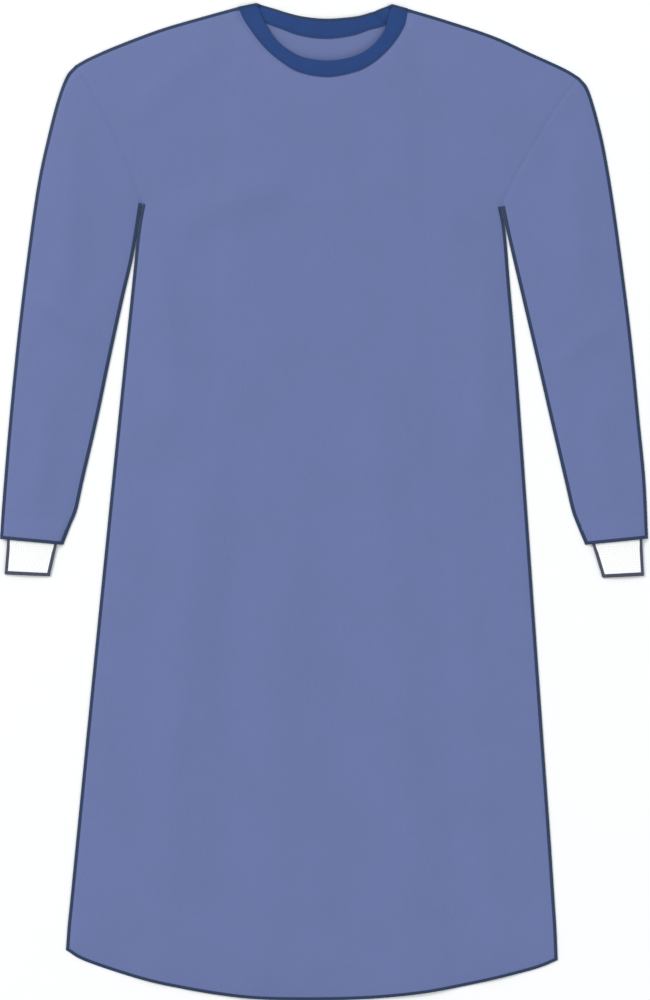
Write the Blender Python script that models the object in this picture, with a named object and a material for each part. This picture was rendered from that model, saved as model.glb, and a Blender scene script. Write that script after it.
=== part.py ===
"""A surgical gown laid flat on its back, face up: the pieces that are cut and sewn, each one its own solid.

The gown opens at the back. Its two back panels overlap under the front, the sleeves are set into the
armholes as a front and a back half, and a folded band goes once round the neck. It rests on z = 0 with
the neck towards +Y. Sizes below are in millimetres and the objects are in metres.
"""

import math

import bmesh
import bpy
from mathutils import Vector

MM = 0.001

# Layers of cloth
PLY = 1.0
BAND_PLY = 1.6
SEAM_GAP = 0.3
SECOND_LAYER = PLY + SEAM_GAP

# How high the upper layer stands: it pillows a little between its seams, and most at the neck
LOFT = 3.2
LOFT_REACH = 22.0
NECK_LIFT = 3.4
NECK_LIFT_REACH = 85.0
CUFF_LIFT = 2.6
CUFF_LIFT_REACH = 34.0
FOLD_HELD_AT_SEAMS = 0.6
FOLD_FREED_OVER = 18.0
FOLD_END_TAPER = 0.28

# The outline, in millimetres from the middle of the laid gown, x towards the wearer's left.
# Each row is one curve and runs through its points.
OUTLINE = {
    "right": {
        "shoulder": ((-109.3, 632.2), (-150, 621), (-207, 604.4), (-261.7, 584), (-299, 567.8), (-318, 557.2)),
        "over_arm": (
            (-318, 557.2), (-329.3, 543.2), (-340.5, 514), (-352.5, 468), (-365, 410.6),
            (-376.4, 334), (-390.5, 220), (-402, 104.6), (-410.3, 5), (-413.9, -47.2),
        ),
        "armhole": ((-318, 557.2), (-290, 516), (-266, 468), (-246, 424), (-232.4, 381.2)),
        "under_arm": (
            (-232.6, 381.2), (-243.4, 315), (-256.6, 257.6), (-273.3, 181), (-289.2, 104.6),
            (-307, 28), (-315.4, -10), (-323.4, -29.9), (-333.2, -54.8),
        ),
        "side": (
            (-231.9, 381.2), (-238.1, 345), (-244.8, 280), (-259, 142.8), (-293.6, -201.5),
            (-316.2, -430), (-323.9, -508), (-327.2, -540), (-329.6, -572.6),
        ),
    },
    "left": {
        "shoulder": ((106.8, 630.0), (156.5, 615.1), (216.4, 595.0), (261, 574.7), (305.7, 554.3), (326.4, 542.1)),
        "over_arm": (
            (326.4, 542.1), (337.1, 528.2), (347.5, 497), (358.9, 448.8), (371.6, 372.3),
            (386.9, 257.6), (395.7, 181), (403, 104.6), (410.4, 28), (413.9, -46.8),
        ),
        "armhole": ((326.4, 542.1), (296, 503), (270, 459), (245, 416), (226.6, 377.4)),
        "under_arm": (
            (226.8, 377.4), (235, 338), (253.8, 257.6), (271.8, 181), (289.3, 104.6),
            (307.3, 28), (316.2, -10), (323.2, -29.3), (333.8, -54.8),
        ),
        "side": (
            (226.1, 377.4), (231.9, 345), (237.3, 280), (248.6, 142.8), (272.9, -201.5),
            (289.2, -430), (294.4, -508), (296.8, -545), (298.5, -585.2),
        ),
    },
}
HEM = (
    (-329.6, -572.6), (-303, -587.4), (-232.4, -610.2), (-160, -625.6), (-95, -634), (-18, -636.5),
    (61, -634.4), (130, -627), (190, -616.2), (254.7, -600.8), (280, -593.2), (298.5, -585.2),
)
# The neck band between the edge that is sewn to the gown and its free edge
FRONT_NECK_SEWN = (
    (-109.3, 632.2), (-103, 616.5), (-91.5, 598.7), (-76.6, 580), (-57.6, 563), (-32.3, 547.7), (3.5, 541.3),
    (39.3, 547.7), (61, 558.4), (78.3, 573), (92.6, 590), (103.3, 609), (106.8, 630.0),
)
FRONT_NECK_FREE = (
    (-86.5, 636.8), (-74.9, 611), (-64.6, 594), (-50.9, 580.3), (-28, 567.2), (3.5, 562.3),
    (34, 566.6), (57, 578), (72, 594), (79.6, 609), (87.2, 635.4),
)
BACK_NECK_SEWN = (
    (-109.3, 632.2), (-74.9, 612), (-56.4, 604.6), (-30.4, 595.3), (3.5, 591.3), (37.9, 595.9),
    (57, 602.4), (79.6, 609.6), (106.8, 630.0),
)
BACK_NECK_FREE = (
    (-86.5, 636.8), (-64.4, 630), (-48.5, 624.8), (-26.8, 619.6), (3.5, 616.7), (39.5, 619.6),
    (59.9, 624.8), (72.7, 630), (87.2, 635.4),
)

# The overlap of the back: where each panel's free edge meets the neck and the hem
BACK_LEFT_EDGE = {"neck": -62.0, "hem": -130.0}
BACK_RIGHT_EDGE = {"neck": 78.0, "hem": 135.0}
BACK_HEM_SHORTER = 3.0
OVERLAP_RAMP = (40.0, 10.0)
BAND_ENDS_AT = -20.0

# Soft folds of the upper layer: three points of each, its height and its half width
FOLDS = (
    {"path": ((-150, 140), (-176, -180), (-214, -604)), "height": 4.6, "width": 30},
    {"path": ((-38, 40), (-60, -260), (-82, -632)), "height": 3.8, "width": 36},
    {"path": ((66, 210), (84, -140), (122, -625)), "height": 4.8, "width": 32},
    {"path": ((168, 0), (188, -300), (222, -606)), "height": 3.8, "width": 28},
    {"path": ((-108, 20), (-122, -260), (-142, -620)), "height": -1.6, "width": 26},
    {"path": ((18, -80), (24, -350), (34, -632)), "height": -1.8, "width": 32},
    {"path": ((-210, 340), (-130, 392), (-24, 408)), "height": 3.6, "width": 24},
    {"path": ((206, 332), (128, 396), (42, 428)), "height": 3.2, "width": 24},
    {"path": ((-216, 335), (-190, 200), (-198, 40)), "height": 2.8, "width": 22},
    {"path": ((212, 330), (194, 180), (206, 0)), "height": 3.0, "width": 22},
    {"path": ((-122, 596), (-190, 548), (-256, 476)), "height": 2.6, "width": 22},
    {"path": ((126, 590), (190, 546), (252, 470)), "height": 2.4, "width": 22},
    {"path": ((-318, 515), (-322, 380), (-338, 215)), "height": 3.2, "width": 22},
    {"path": ((322, 500), (318, 380), (332, 240)), "height": 3.4, "width": 22},
    {"path": ((-378, 262), (-330, 246), (-282, 196)), "height": 2.8, "width": 16},
    {"path": ((384, 232), (340, 222), (288, 158)), "height": 2.8, "width": 16},
    {"path": ((-356, 150), (-352, 60), (-372, -18)), "height": 2.6, "width": 18},
    {"path": ((354, 140), (348, 60), (366, -20)), "height": 2.8, "width": 18},
)

# The knitted cuffs
CUFF_AT = {"right": (0.119, 0.904), "left": (0.888, 0.095)}
CUFF_END = {
    "right": ((-407.8, -92.3), (-350.3, -94.8)),
    "left": ((408.7, -94.1), (355.8, -96.7)),
}
CUFF_TUCK = 6.0
CUFF_DROP = 0.28
CUFF_PLY = 1.0
CUFF_GAP_EDGE = 0.4
CUFF_GAP_MIDDLE = 1.5
RIB_COUNT = 18
RIB_HEIGHT = 0.5

# How finely each piece is divided
SIDE_ROWS = 22
ARMHOLE_ROWS = 8
SHOULDER_COLUMNS = 10
FRONT_NECK_COLUMNS = 36
BACK_NECK_COLUMNS = 30
SLEEVE_ROWS = 20
SPLINE_STEPS = 16

MATERIALS = {
    "gown_cloth": {"colour": (0.153, 0.191, 0.397), "roughness": 0.72},
    "neck_binding": {"colour": (0.026, 0.069, 0.219), "roughness": 0.7},
    "knit_cuff": {"colour": (0.90, 0.91, 0.90), "roughness": 0.85},
    "hook_tape": {"colour": (0.80, 0.82, 0.84), "roughness": 0.6},
}


def clear_scene():
    for thing in list(bpy.data.objects):
        bpy.data.objects.remove(thing)


def material(name):
    made = bpy.data.materials.get(name)
    if made is None:
        made = bpy.data.materials.new(name)
        made.use_nodes = True
        shader = made.node_tree.nodes["Principled BSDF"]
        shader.inputs["Base Color"].default_value = (*MATERIALS[name]["colour"], 1)
        shader.inputs["Roughness"].default_value = MATERIALS[name]["roughness"]
        shader.inputs["Metallic"].default_value = 0.0
    return made


def ease(value, start, end):
    """0 before start, 1 after end and smooth between."""
    share = min(max((value - start) / (end - start), 0.0), 1.0)
    return share * share * (3 - 2 * share)


def lerp(a, b, share):
    return a + (b - a) * share


def spline(points):
    """A smooth curve through 2-D points, as a fine list of points."""
    given = [Vector(p) for p in points]
    given = [2 * given[0] - given[1], *given, 2 * given[-1] - given[-2]]
    fine = []
    for a, b, c, d in zip(given, given[1:], given[2:], given[3:]):
        for step in range(SPLINE_STEPS):
            t = step / SPLINE_STEPS
            fine.append(
                0.5 * (2 * b + (c - a) * t + (2 * a - 5 * b + 4 * c - d) * t**2 + (3 * b - a - 3 * c + d) * t**3)
            )
    fine.append(given[-2])
    return fine


def lengths_along(line):
    along = [0.0]
    for a, b in zip(line, line[1:]):
        along.append(along[-1] + (b - a).length)
    return along


def place_on(line, along, distance):
    """The point of a fine line at that distance from its start."""
    for i in range(1, len(line)):
        if distance <= along[i] or i == len(line) - 1:
            share = (distance - along[i - 1]) / max(along[i] - along[i - 1], 1e-9)
            return line[i - 1].lerp(line[i], min(max(share, 0.0), 1.0))


def divided(line, count):
    """count + 1 points, evenly spaced along a fine line."""
    along = lengths_along(line)
    return [place_on(line, along, along[-1] * i / count) for i in range(count + 1)]


def moved_aside(line, distance):
    """The line moved to its left by a distance."""
    moved = []
    for i, point in enumerate(line):
        ahead = line[min(i + 1, len(line) - 1)] - line[max(i - 1, 0)]
        moved.append(point + Vector((-ahead.y, ahead.x)).normalized() * distance)
    return moved


def at_x(line, x):
    """The point where a line that runs across the gown reaches x."""
    for a, b in zip(line, line[1:]):
        if (a.x - x) * (b.x - x) <= 0 and a.x != b.x:
            return a.lerp(b, (x - a.x) / (b.x - a.x))
    raise ValueError(f"the line doesn't reach x = {x}")


def between_x(line, low, high):
    """The stretch of a line that runs towards +X, between two places."""
    return [at_x(line, low), *[p for p in line if low < p.x < high], at_x(line, high)]


CURVES = {side: {name: spline(points) for name, points in rows.items()} for side, rows in OUTLINE.items()}
HEM_LINE = spline(HEM)
FRONT_SEWN_LINE = spline(FRONT_NECK_SEWN)
FRONT_FREE_LINE = spline(FRONT_NECK_FREE)
BACK_SEWN_LINE = spline(BACK_NECK_SEWN)
BACK_FREE_LINE = spline(BACK_NECK_FREE)
SILHOUETTE = [
    divided(line, 14)
    for line in [HEM_LINE]
    + [CURVES[side][name] for side in CURVES for name in ("shoulder", "over_arm", "under_arm", "side")]
]


def edge_distance(point):
    """How far a point of the upper layer is from the seams and hems round the gown."""
    nearest = math.inf
    for line in SILHOUETTE:
        for a, b in zip(line, line[1:]):
            along = b - a
            share = min(max((point - a).dot(along) / along.length_squared, 0.0), 1.0)
            nearest = min(nearest, (point - a - along * share).length)
    return nearest


def panel_edge_x(edge, y):
    """Where a back panel's straight free edge is at y."""
    share = (y - HEM[5][1]) / (BACK_NECK_SEWN[4][1] - HEM[5][1])
    return lerp(edge["hem"], edge["neck"], share)


def overlap_share(point):
    """1 where the two back panels lie on each other, and 0 well beside that."""
    left = panel_edge_x(BACK_LEFT_EDGE, point.y)
    right = panel_edge_x(BACK_RIGHT_EDGE, point.y)
    return ease(point.x, left - 62, left - 34) - ease(point.x, right + 16, right + 44)


def fold_path(fold):
    """A fold's ridge, as points on the curve that its three points bend."""
    start, middle, end = (Vector(p) for p in fold["path"])
    shares = [step / 12 for step in range(13)]
    return [start.lerp(middle, t).lerp(middle.lerp(end, t), t) for t in shares]


FOLD_PATHS = [fold_path(fold) for fold in FOLDS]


def fold_height(point, fold, path):
    """The height that one fold adds at a point: full on its ridge, and fading beside it and at its ends."""
    best, at = math.inf, 0.0
    for i, (a, b) in enumerate(zip(path, path[1:])):
        along = b - a
        share = min(max((point - a).dot(along) / along.length_squared, 0.0), 1.0)
        apart = (point - a - along * share).length
        if apart < best:
            best, at = apart, (i + share) / (len(path) - 1)
    if best > 3 * fold["width"]:
        return 0.0
    ends = ease(at, 0.0, FOLD_END_TAPER)
    if abs(fold["path"][2][1]) < 560:
        ends *= 1 - ease(at, 1 - FOLD_END_TAPER, 1.0)
    return fold["height"] * ends * math.exp(-((best / fold["width"]) ** 2))


def cuff_line(side):
    """The sleeve's end, from the overarm seam to the underarm seam."""
    return CURVES[side]["over_arm"][-1], CURVES[side]["under_arm"][-1]


def cuff_lift(point, apart):
    """How far a cuff that is tucked in holds the sleeve's upper half up."""
    side = "right" if point.x < 0 else "left"
    outer, inner = cuff_line(side)
    from_end = point.y - (outer.y + inner.y) / 2
    return CUFF_LIFT * (1 - ease(from_end, 6.0, CUFF_LIFT_REACH)) * ease(apart, 0.5, 9.0)


def upper_layer(point):
    """The height of the underside of the front and of the sleeves' front halves."""
    apart = edge_distance(point)
    base = SECOND_LAYER * (1 + overlap_share(point))
    loft = LOFT * (1 - math.exp(-apart / LOFT_REACH))
    if abs(point.x) > 330 and point.y < 40:
        loft += cuff_lift(point, apart)
    neck = Vector((FRONT_NECK_FREE[5][0], FRONT_NECK_FREE[5][1]))
    held = 1 - math.exp(-apart / 12.0)
    loft += NECK_LIFT * held * math.exp(-((point - neck).length / NECK_LIFT_REACH) ** 2)
    freed = 1 - FOLD_HELD_AT_SEAMS * math.exp(-apart / FOLD_FREED_OVER)
    folds = sum(fold_height(point, fold, path) for fold, path in zip(FOLDS, FOLD_PATHS)) * freed
    return base + max(loft + folds, 0.0)


def coons(bottom, top, left, right):
    """A grid of points between four lists of points that meet at their ends."""
    columns, rows = len(bottom) - 1, len(left) - 1
    grid = []
    for r in range(rows + 1):
        v = r / rows
        row = []
        for c in range(columns + 1):
            u = c / columns
            across = left[r].lerp(right[r], u)
            up = bottom[c].lerp(top[c], v)
            corners = bottom[0].lerp(bottom[-1], u).lerp(top[0].lerp(top[-1], u), v)
            row.append(across + up - corners)
        grid.append(row)
    return grid


def add_object(name, mesh_data, finish):
    mesh = bpy.data.meshes.new(name)
    mesh_data.normal_update()
    mesh_data.to_mesh(mesh)
    mesh_data.free()
    mesh.materials.append(material(finish))
    made = bpy.data.objects.new(name, mesh)
    bpy.context.scene.collection.objects.link(made)
    return made


def shade(made, degrees=35):
    made.data.shade_smooth()
    made.data.set_sharp_from_angle(angle=math.radians(degrees))


def closed_wall(name, lower, upper, finish, loops=False):
    """A solid between two grids of 3-D points. With loops, each row closes on itself, as round a tube."""
    shape = bmesh.new()
    low = [[shape.verts.new(p * MM) for p in row] for row in lower]
    high = [[shape.verts.new(p * MM) for p in row] for row in upper]
    rows, columns = len(low), len(low[0])
    spans = columns if loops else columns - 1
    for r in range(rows - 1):
        for c in range(spans):
            n = (c + 1) % columns
            shape.faces.new((high[r][c], high[r][n], high[r + 1][n], high[r + 1][c]))
            shape.faces.new((low[r][c], low[r + 1][c], low[r + 1][n], low[r][n]))
    for c in range(spans):
        n = (c + 1) % columns
        shape.faces.new((low[0][c], low[0][n], high[0][n], high[0][c]))
        shape.faces.new((low[-1][n], low[-1][c], high[-1][c], high[-1][n]))
    if not loops:
        for r in range(rows - 1):
            shape.faces.new((low[r + 1][0], low[r][0], high[r][0], high[r + 1][0]))
            shape.faces.new((low[r][-1], low[r + 1][-1], high[r + 1][-1], high[r][-1]))
    bmesh.ops.recalc_face_normals(shape, faces=shape.faces)
    return add_object(name, shape, finish)


def lofted_panel(name, grid):
    """A panel of the upper layer: a wall one ply thick over the height of that layer."""
    lower = [[Vector((p.x, p.y, upper_layer(p))) for p in row] for row in grid]
    upper = [[p + Vector((0, 0, PLY)) for p in row] for row in lower]
    shade(closed_wall(name, lower, upper, "gown_cloth"), 60)


def flat_panel(name, outline, cuts=(), height=lambda point: 0.0):
    """A panel of the lower layer: its cut shape, one ply thick, creased along the lines of cuts."""
    shape = bmesh.new()
    face = shape.faces.new([shape.verts.new((p.x * MM, p.y * MM, 0)) for p in outline])
    if face.normal.z < 0:
        face.normal_flip()
    for place, across in cuts:
        bmesh.ops.bisect_plane(
            shape,
            geom=shape.verts[:] + shape.edges[:] + shape.faces[:],
            plane_co=(place.x * MM, place.y * MM, 0),
            plane_no=(across.x, across.y, 0),
        )
    lower = shape.faces[:]
    grown = bmesh.ops.extrude_face_region(shape, geom=lower, use_keep_orig=True)
    raised = {e for e in grown["geom"] if isinstance(e, bmesh.types.BMVert)}
    for vert in shape.verts:
        vert.co.z = (height(Vector(vert.co.xy) / MM) + (PLY if vert in raised else 0.0)) * MM
    bmesh.ops.recalc_face_normals(shape, faces=shape.faces)
    add_object(name, shape, "gown_cloth")


def body_grid(hem, top, up_right, up_left):
    """A grid with columns from hem to top. Only those beside the neck lean in to follow the armholes."""
    share_of_neck = (FRONT_NECK_SEWN[0][0] - top[0].x) / (top[-1].x - top[0].x)
    grid = []
    for at_right, at_left in zip(up_right, up_left):
        v = ((at_right.y - hem[0].y) / (top[0].y - hem[0].y) + (at_left.y - hem[-1].y) / (top[-1].y - hem[-1].y)) / 2
        row = []
        for low, high in zip(hem, top):
            share = (high.x - top[0].x) / (top[-1].x - top[0].x)
            to_right = max(1 - share / share_of_neck, 0.0) * (at_right - hem[0].lerp(top[0], v))
            to_left = max(1 - (1 - share) / share_of_neck, 0.0) * (at_left - hem[-1].lerp(top[-1], v))
            row.append(low.lerp(high, v) + to_right + to_left)
        grid.append(row)
    return grid


def body_front():
    """The front of the gown, from hem to shoulders, with the neck cut out."""
    right, left = CURVES["right"], CURVES["left"]
    seam = SEAM_GAP / 2
    neck = moved_aside(divided(FRONT_SEWN_LINE, FRONT_NECK_COLUMNS), -SEAM_GAP)
    armhole_right = moved_aside(divided(right["armhole"], ARMHOLE_ROWS), seam)
    armhole_left = moved_aside(divided(left["armhole"], ARMHOLE_ROWS), -seam)
    up_right = divided(right["side"][::-1], SIDE_ROWS) + armhole_right[-2::-1]
    up_left = divided(left["side"][::-1], SIDE_ROWS) + armhole_left[-2::-1]
    top = (
        divided(right["shoulder"][::-1], SHOULDER_COLUMNS)[:-1]
        + neck
        + divided(left["shoulder"], SHOULDER_COLUMNS)[1:]
    )
    top[0], top[-1] = up_right[-1], up_left[-1]
    hem_right, hem_left = HEM_LINE[0].x, HEM_LINE[-1].x
    shares = [(p.x - top[0].x) / (top[-1].x - top[0].x) for p in top[1:-1]]
    hem = [HEM_LINE[0], *[at_x(HEM_LINE, lerp(hem_right, hem_left, share)) for share in shares], HEM_LINE[-1]]
    lofted_panel("front", body_grid(hem, top, up_right, up_left))


def sleeve_front(side):
    """The upper half of a sleeve, from armhole to wrist."""
    curves = CURVES[side]
    seam = SEAM_GAP / 2 if side == "left" else -SEAM_GAP / 2
    armhole = moved_aside(divided(curves["armhole"], ARMHOLE_ROWS), seam)
    outer = divided(curves["over_arm"], SLEEVE_ROWS)
    inner = divided(curves["under_arm"], SLEEVE_ROWS)
    outer[0], inner[0] = armhole[0], armhole[-1]
    wrist = [outer[-1].lerp(inner[-1], c / ARMHOLE_ROWS) for c in range(ARMHOLE_ROWS + 1)]
    lofted_panel(f"sleeve_{side}_front", coons(armhole, wrist, outer, inner))


def sleeve_back(side):
    """The lower half of a sleeve, flat on the surface."""
    curves = CURVES[side]
    seam = SEAM_GAP / 2 if side == "left" else -SEAM_GAP / 2
    armhole = moved_aside(divided(curves["armhole"], ARMHOLE_ROWS), seam)
    outer = divided(curves["over_arm"], SLEEVE_ROWS)[1:]
    inner = divided(curves["under_arm"], SLEEVE_ROWS)[1:]
    flat_panel(f"sleeve_{side}_back", armhole + inner + outer[::-1])


def back_outline(side):
    """The cut shape of one back panel: side seam, hem, free edge, neck, shoulder and armhole."""
    curves = CURVES[side]
    seam = SEAM_GAP / 2 if side == "right" else -SEAM_GAP / 2
    hem = moved_aside(HEM_LINE, BACK_HEM_SHORTER)
    neck = moved_aside(divided(BACK_SEWN_LINE, BACK_NECK_COLUMNS), -SEAM_GAP)
    edge = BACK_RIGHT_EDGE if side == "right" else BACK_LEFT_EDGE
    if side == "right":
        hem_part = between_x(hem, hem[0].x, edge["hem"])
        neck_part = between_x(neck, neck[0].x, edge["neck"])[::-1]
    else:
        hem_part = between_x(hem, edge["hem"], hem[-1].x)[::-1]
        neck_part = between_x(neck, edge["neck"], neck[-1].x)
    side_seam = divided([p for p in curves["side"] if p.y > hem_part[0].y + 1], SIDE_ROWS // 2)
    shoulder = divided(curves["shoulder"], SHOULDER_COLUMNS // 2)[1:]
    armhole = moved_aside(divided(curves["armhole"], ARMHOLE_ROWS), seam)[:-1]
    return side_seam + divided(hem_part, 14) + neck_part + shoulder[:-1] + armhole


def back_left():
    """The outer back panel, which lies on the surface."""
    flat_panel("back_left", back_outline("left"))


def back_right():
    """The inner back panel. It steps up on to the outer one along that panel's free edge."""
    neck_y, hem_y = BACK_NECK_SEWN[4][1], HEM[5][1]
    along = Vector((BACK_LEFT_EDGE["neck"] - BACK_LEFT_EDGE["hem"], neck_y - hem_y)).normalized()
    across = Vector((along.y, -along.x))
    foot, head = (
        Vector((BACK_LEFT_EDGE["hem"], hem_y)) - across * distance for distance in OVERLAP_RAMP
    )

    def height(point):
        share = (point - foot).dot(across) / (head - foot).length
        return SECOND_LAYER * min(max(share, 0.0), 1.0)

    flat_panel("back_right", back_outline("right"), ((foot, across), (head, across)), height)


def band_edges(sewn, free, columns):
    """Points in pairs along one side of the neck: on the band's sewn edge and on its free edge."""
    return list(zip(divided(sewn, columns), divided(free, columns)))


def band_stations():
    """The neck band from its inner end to its outer one: two edge points and the wall's normal at each."""
    back = band_edges(BACK_SEWN_LINE, BACK_FREE_LINE, BACK_NECK_COLUMNS)
    front = band_edges(FRONT_SEWN_LINE, FRONT_FREE_LINE, FRONT_NECK_COLUMNS)
    up, down, half = Vector((0, 0, 1)), Vector((0, 0, -1)), BAND_PLY / 2
    over_band = BAND_PLY + SEAM_GAP
    tab_end = BACK_LEFT_EDGE["neck"]
    stations = []
    for sewn, free in [pair for pair in back[1:] if pair[0].x < BACK_RIGHT_EDGE["neck"]][::-1]:
        z = half + over_band * ease(sewn.x, tab_end - 34, tab_end - 8)
        stations.append((sewn.to_3d() + up * z, free.to_3d() + up * z, up))
    stations += band_turn(back[0], half, over_band / 2, rising=True)
    for i, (sewn, free) in enumerate(front[1:-1], start=1):
        near_fold = min(i, len(front) - 1 - i) / 5
        z = lerp(over_band, upper_layer((sewn + free) / 2), ease(near_fold, 0, 1)) + half
        stations.append((sewn.to_3d() + up * z, free.to_3d() + up * z, down))
    stations += band_turn(back[-1], half, over_band / 2, rising=False)
    for sewn, free in [pair for pair in back[:-1] if pair[0].x > BAND_ENDS_AT][::-1]:
        stations.append((sewn.to_3d() + up * half, free.to_3d() + up * half, up))
    return stations


def band_turn(ends, foot, radius, rising):
    """Where the band folds back on itself at the side of the neck: a half circle about the fold."""
    across = (ends[1] - ends[0]).normalized().to_3d()
    outwards = Vector((-across.y, across.x, 0)) * (1 if across.x > 0 else -1)
    room = radius + BAND_PLY / 2
    sewn = ends[0].to_3d() + (across - outwards) * room
    free = ends[1].to_3d() - outwards * room
    turn = []
    for step in range(7):
        angle = math.pi * step / 6
        rise = Vector((0, 0, foot + radius * (1 - math.cos(angle))))
        aside = outwards * radius * math.sin(angle)
        normal = Vector((0, 0, math.cos(angle))) - outwards * math.sin(angle)
        turn.append((sewn + aside + rise, free + aside + rise, normal))
    return turn if rising else [(s, f, n) for s, f, n in reversed(turn)]


def neck_band():
    """The folded strip that goes once round the neck, and laps itself at the back."""
    half = BAND_PLY / 2
    inner, outer = [], []
    for sewn, free, normal in band_stations():
        inner.append([sewn - normal * half, free - normal * half])
        outer.append([sewn + normal * half, free + normal * half])
    closed_wall("neck_band", inner, outer, "neck_binding")


def neck_tab():
    """The fastening tape that carries the outer end of the neck band on to the panel's corner."""
    back = band_edges(BACK_SEWN_LINE, BACK_FREE_LINE, BACK_NECK_COLUMNS)
    tab = [pair for pair in back if BACK_LEFT_EDGE["neck"] < pair[0].x < BAND_ENDS_AT]
    band_end = [pair for pair in back if pair[0].x > BAND_ENDS_AT][0]
    tab.append(tuple(p - (p - q).normalized() * SEAM_GAP for p, q in zip(band_end, tab[-1])))
    lower = [[sewn.to_3d(), free.to_3d()] for sewn, free in tab]
    upper = [[p + Vector((0, 0, BAND_PLY)) for p in pair] for pair in lower]
    closed_wall("neck_tab", lower, upper, "hook_tape")


def cuff_ring(start, end, lift):
    """One section of a cuff: outer and inner points round a flattened tube that lies on its plain side."""
    across = (end - start).normalized()
    half = (end - start).length / 2 - CUFF_PLY
    middle = (start + end) / 2
    side_height = (2 * CUFF_PLY + CUFF_GAP_EDGE) / 2
    outer, inner = [], []

    def add(place, high, inside_place, inside_high):
        outer.append((middle + across * place).to_3d() + Vector((0, 0, high + lift)))
        inner.append((middle + across * inside_place).to_3d() + Vector((0, 0, inside_high + lift)))

    for step in range(5):
        place = lerp(-half, half, step / 4)
        add(place, 0.0, place, CUFF_PLY)
    for angle in (-45, 0, 45):
        turn = math.radians(angle)
        gap = CUFF_GAP_EDGE / 2
        add(
            half + CUFF_PLY * math.cos(turn), side_height * (1 + math.sin(turn)),
            half + gap * math.cos(turn) * 0.5, side_height + gap * math.sin(turn),
        )
    ribs = 2 * RIB_COUNT
    for step in range(ribs + 1):
        place = lerp(half, -half, step / ribs)
        gap = CUFF_GAP_EDGE + CUFF_GAP_MIDDLE * (1 - (place / half) ** 2)
        rib = RIB_HEIGHT * (step % 2)
        add(place, 2 * CUFF_PLY + gap + rib, place, CUFF_PLY + gap)
    for angle in (135, 180, 225):
        turn = math.radians(angle)
        gap = CUFF_GAP_EDGE / 2
        add(
            -half + CUFF_PLY * math.cos(turn), side_height * (1 + math.sin(turn)),
            -half + gap * math.cos(turn) * 0.5, side_height + gap * math.sin(turn),
        )
    return outer, inner


def cuff(side):
    """A knitted cuff: its head is tucked between the sleeve's halves and the rest lies on the surface."""
    outer_corner, inner_corner = cuff_line(side)
    first, last = CUFF_AT[side]
    if side == "left":
        first, last = last, first
    head = [outer_corner.lerp(inner_corner, share) for share in (first, last)]
    foot = [Vector(p) for p in CUFF_END[side]]
    length = (foot[0] - head[0]).length
    rings = []
    for share in (-CUFF_TUCK / length, -0.01, CUFF_DROP, 0.62, 1.0):
        start, end = (h.lerp(f, share) for h, f in zip(head, foot))
        lift = SECOND_LAYER * (1 - ease(share, 0.0, CUFF_DROP))
        if start.x > end.x:
            start, end = end, start
        rings.append(cuff_ring(start, end, lift))
    outer = [ring[0] for ring in rings]
    inner = [ring[1] for ring in rings]
    closed_wall(f"cuff_{side}", inner, outer, "knit_cuff", loops=True)


def main():
    clear_scene()
    body_front()
    back_left()
    back_right()
    for side in ("right", "left"):
        sleeve_front(side)
        sleeve_back(side)
        cuff(side)
    neck_band()
    neck_tab()


main()
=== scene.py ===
# %% [markdown]
# # A surgical gown, laid flat
# A gown like this is cut from thin nonwoven, sewn round its edges and laid on its back on a pale surface.
# The solids of its pieces are already made and packed, so this lesson loads them as a fixed frame. It then
# dresses each one: cloth as a thin shell on the solid's form, seams as rows of thread, and ribbed cuffs.
# All sizes are written in millimetres, because that is how a pattern is drawn, and become metres once.

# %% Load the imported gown
import math

import bpy
import numpy as np
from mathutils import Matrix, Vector, noise


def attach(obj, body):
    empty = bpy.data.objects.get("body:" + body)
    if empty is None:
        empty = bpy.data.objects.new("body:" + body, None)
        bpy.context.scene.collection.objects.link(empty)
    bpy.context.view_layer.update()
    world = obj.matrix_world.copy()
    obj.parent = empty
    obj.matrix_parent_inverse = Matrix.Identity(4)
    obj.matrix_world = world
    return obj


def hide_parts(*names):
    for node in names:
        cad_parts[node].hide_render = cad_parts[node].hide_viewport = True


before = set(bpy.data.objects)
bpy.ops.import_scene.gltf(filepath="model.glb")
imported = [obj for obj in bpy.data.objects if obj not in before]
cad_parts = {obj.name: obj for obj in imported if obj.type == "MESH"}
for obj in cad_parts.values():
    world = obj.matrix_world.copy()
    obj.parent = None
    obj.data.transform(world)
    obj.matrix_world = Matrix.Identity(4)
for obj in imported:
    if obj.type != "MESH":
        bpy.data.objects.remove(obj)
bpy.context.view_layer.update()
MM = 0.001
print("pieces in the frame:", ", ".join(sorted(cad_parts)))

# %% [markdown]
# ## The camera
# The drawing shows the gown straight on, and the gown lies flat, so the camera looks straight down. A long
# lens high above keeps the raised middle of the cloth from looking nearer than its hem. The height follows
# from the lens: the picture's long side has to take in 1.275 m of floor.

# %% Look straight down
LENS, SENSOR = 85.0, 36.0
PICTURE_HEIGHT = 1276.5
PICTURE_MIDDLE = (1.3, 2.4)

bpy.context.scene.view_settings.view_transform = "Standard"
camera = bpy.data.objects.new("camera", bpy.data.cameras.new("camera"))
camera.data.lens, camera.data.sensor_width = LENS, SENSOR
camera.data.clip_end = 50
camera.location = (PICTURE_MIDDLE[0] * MM, PICTURE_MIDDLE[1] * MM, PICTURE_HEIGHT * MM * LENS / SENSOR + 0.003)
bpy.context.collection.objects.link(camera)
bpy.context.scene.camera = camera
print("camera height", round(camera.location.z, 3), "m")

# %% [markdown]
# ## Soft light on a pale floor
# A flat drawing has no cast light, but real cloth only reads as cloth when its folds catch some. One wide
# lamp from the upper left does that and keeps the shadows soft. The surroundings fill in the rest, so that
# the floor comes out near white and the cloth keeps its own colour.

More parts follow.
